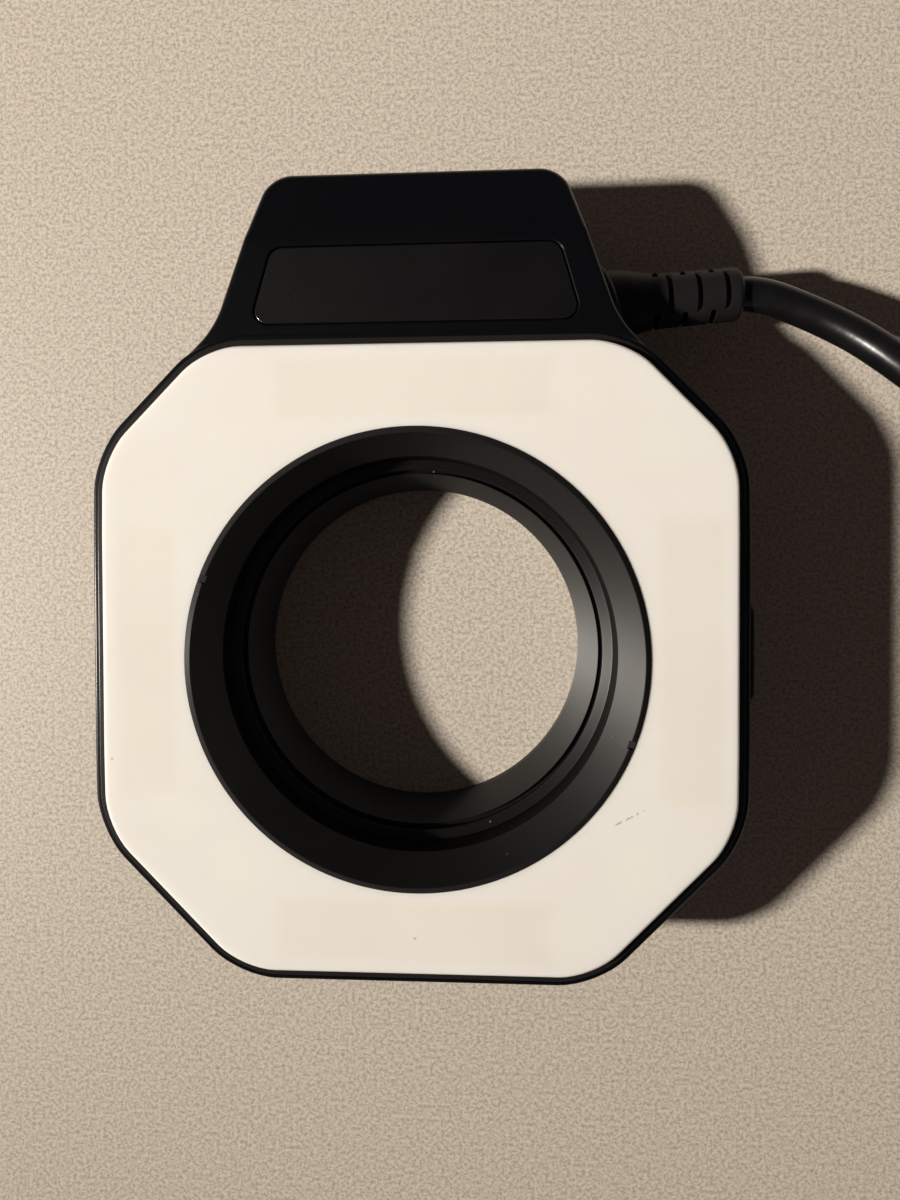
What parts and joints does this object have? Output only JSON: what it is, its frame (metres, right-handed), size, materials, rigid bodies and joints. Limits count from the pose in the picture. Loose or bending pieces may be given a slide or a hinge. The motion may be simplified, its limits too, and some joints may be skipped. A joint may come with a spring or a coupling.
{
  "type": "macro ring flash",
  "caption": "Octagonal macro ring flash head with opal diffuser, stepped lens bore, swivelling thread adapter, flank release buttons and cable with plug.",
  "frame": {"origin": "on the lens axis, at the free end of the adapter's thread, which is also where the flash rests on a table", "axes": "+Z along the lens axis towards the subject, +Y towards the head with the name plate, +X towards the cable's side"},
  "size_m": [0.2222, 0.1468, 0.027],
  "materials": {
    "housing_black": "fine-textured black moulded plastic",
    "cover_black": "fine-textured black moulded plastic",
    "opal_white": "opal white acrylic, semi-gloss",
    "plate_black": "grained black plastic plate, left bare",
    "tube_black": "matte black plastic",
    "bezel_black": "satin black",
    "adapter_black": "satin black anodised",
    "screw_steel": "plain steel",
    "board_green": "circuit board",
    "frame_white": "white moulded plastic",
    "reflector_bright": "bright rolled sheet",
    "flash_glass": "clear glass",
    "electrode_steel": "plain metal",
    "holder_brown": "brown silicone rubber",
    "lead_red": "wire insulation",
    "lead_blue": "wire insulation",
    "trigger_copper": "bare wire",
    "winding_amber": "taped winding",
    "latch_steel": "stamped sheet",
    "spring_steel": "spring wire",
    "button_black": "smooth black plastic",
    "boot_rubber": "black rubber",
    "cable_black": "glossy black sheath",
    "tie_black": "hook and loop tape",
    "plug_black": "black moulded plastic",
    "plug_nickel": "nickel plated",
    "insert_black": "black insulator",
    "pin_gold": "gold plated"
  },
  "bodies": {
    "flash_head": {"front_housing": "housing_black", "rear_cover": "cover_black", "rear_screws": "screw_steel", "lens_tube": "tube_black", "tube_screws": "screw_steel", "bezel_ring": "bezel_black", "diffuser": "opal_white", "name_plate": "plate_black", "circuit_board": "board_green", "reflector_frame": "frame_white", "reflector_up": "reflector_bright", "reflector_down": "reflector_bright", "reflector_left": "reflector_bright", "reflector_right": "reflector_bright", "flash_tube_up": "flash_glass", "flash_tube_down": "flash_glass", "flash_tube_left": "flash_glass", "flash_tube_right": "flash_glass", "tube_electrodes": "electrode_steel", "tube_holders": "holder_brown", "tube_leads": "lead_red", "trigger_wires": "trigger_copper", "terminal_board": "board_green", "trigger_transformers": "winding_amber", "lead_wires": "lead_red", "board_wires": "lead_blue", "latch_spring_right": "spring_steel", "latch_spring_left": "spring_steel", "cable_boot": "boot_rubber", "cable_lead": "cable_black", "cable_coil": "cable_black", "cable_tail": "cable_black", "cable_tie": "tie_black", "plug_boot": "boot_rubber", "plug_body": "plug_black", "plug_shell": "plug_nickel", "plug_insert": "insert_black", "plug_pins": "pin_gold"},
    "release_right": {"release_button_right": "button_black", "latch_plate_right": "latch_steel"},
    "release_left": {"release_button_left": "button_black", "latch_plate_left": "latch_steel"},
    "adapter": {"adapter_ring": "adapter_black"},
    "coupling": {"coupling_ring": "plug_nickel"}
  },
  "joints": [
    {"name": "right_release", "type": "slide", "parent": "flash_head", "child": "release_right", "axis": [-1, 0, 0], "range_m": [0, 0.002], "stiffness_N_per_m": 800, "springref_m": -0.002, "deforming": ["latch_spring_right"]},
    {"name": "left_release", "type": "slide", "parent": "flash_head", "child": "release_left", "axis": [1, 0, 0], "range_m": [0, 0.002], "stiffness_N_per_m": 800, "springref_m": -0.002, "deforming": ["latch_spring_left"]},
    {"name": "adapter_swivel", "type": "hinge", "parent": "flash_head", "child": "adapter", "pos_m": [0, 0, 0], "axis": [0, 0, 1], "continuous": true},
    {"name": "coupling_turn", "type": "hinge", "parent": "flash_head", "child": "coupling", "pos_m": [0.16103, -0.06043, 0.007], "axis": [0, -1, 0], "continuous": true}
  ]
}
